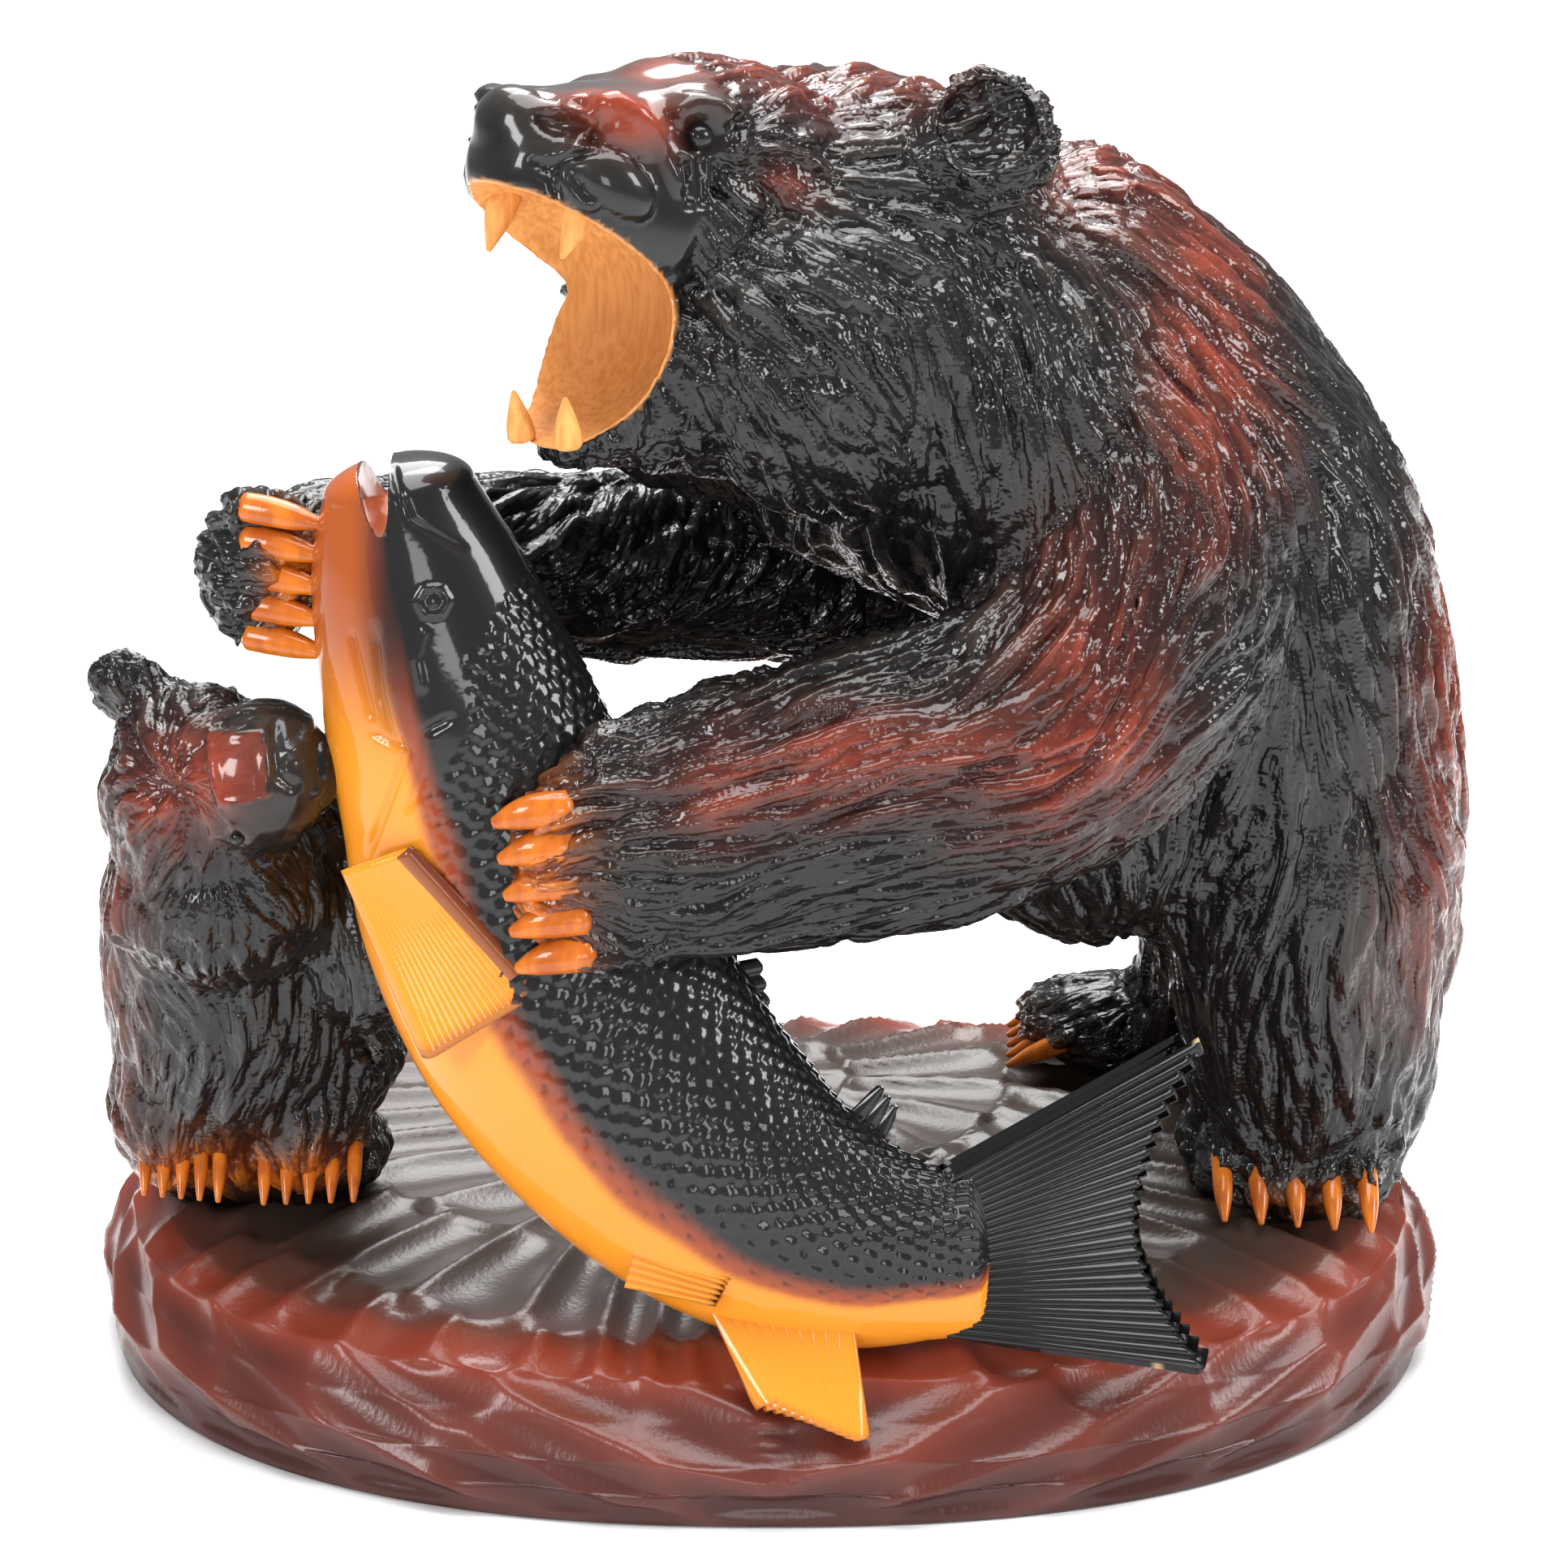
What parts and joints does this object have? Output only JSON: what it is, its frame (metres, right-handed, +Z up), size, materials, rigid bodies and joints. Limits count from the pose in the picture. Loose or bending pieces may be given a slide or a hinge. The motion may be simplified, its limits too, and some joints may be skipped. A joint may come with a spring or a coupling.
{
  "type": "carved wooden bear group",
  "caption": "Carved wooden group of a roaring mother bear holding a salmon in her forepaws, with her cub nosing it, on a gouge-cut rock base.",
  "frame": {"origin": "middle of the rock's flat underside, where it stands on a table", "axes": "+X towards the mother's back, on the right as the carving is looked at, +Y away from the viewer, +Z up"},
  "size_m": [0.4321, 0.3196, 0.4126],
  "materials": {
    "carved_wood": "gloss lacquer over black and red-brown stain, with orange stain on the claws and the salmon's belly"
  },
  "bodies": {
    "root": {"bears_and_salmon": "carved_wood"}
  },
  "joints": []
}
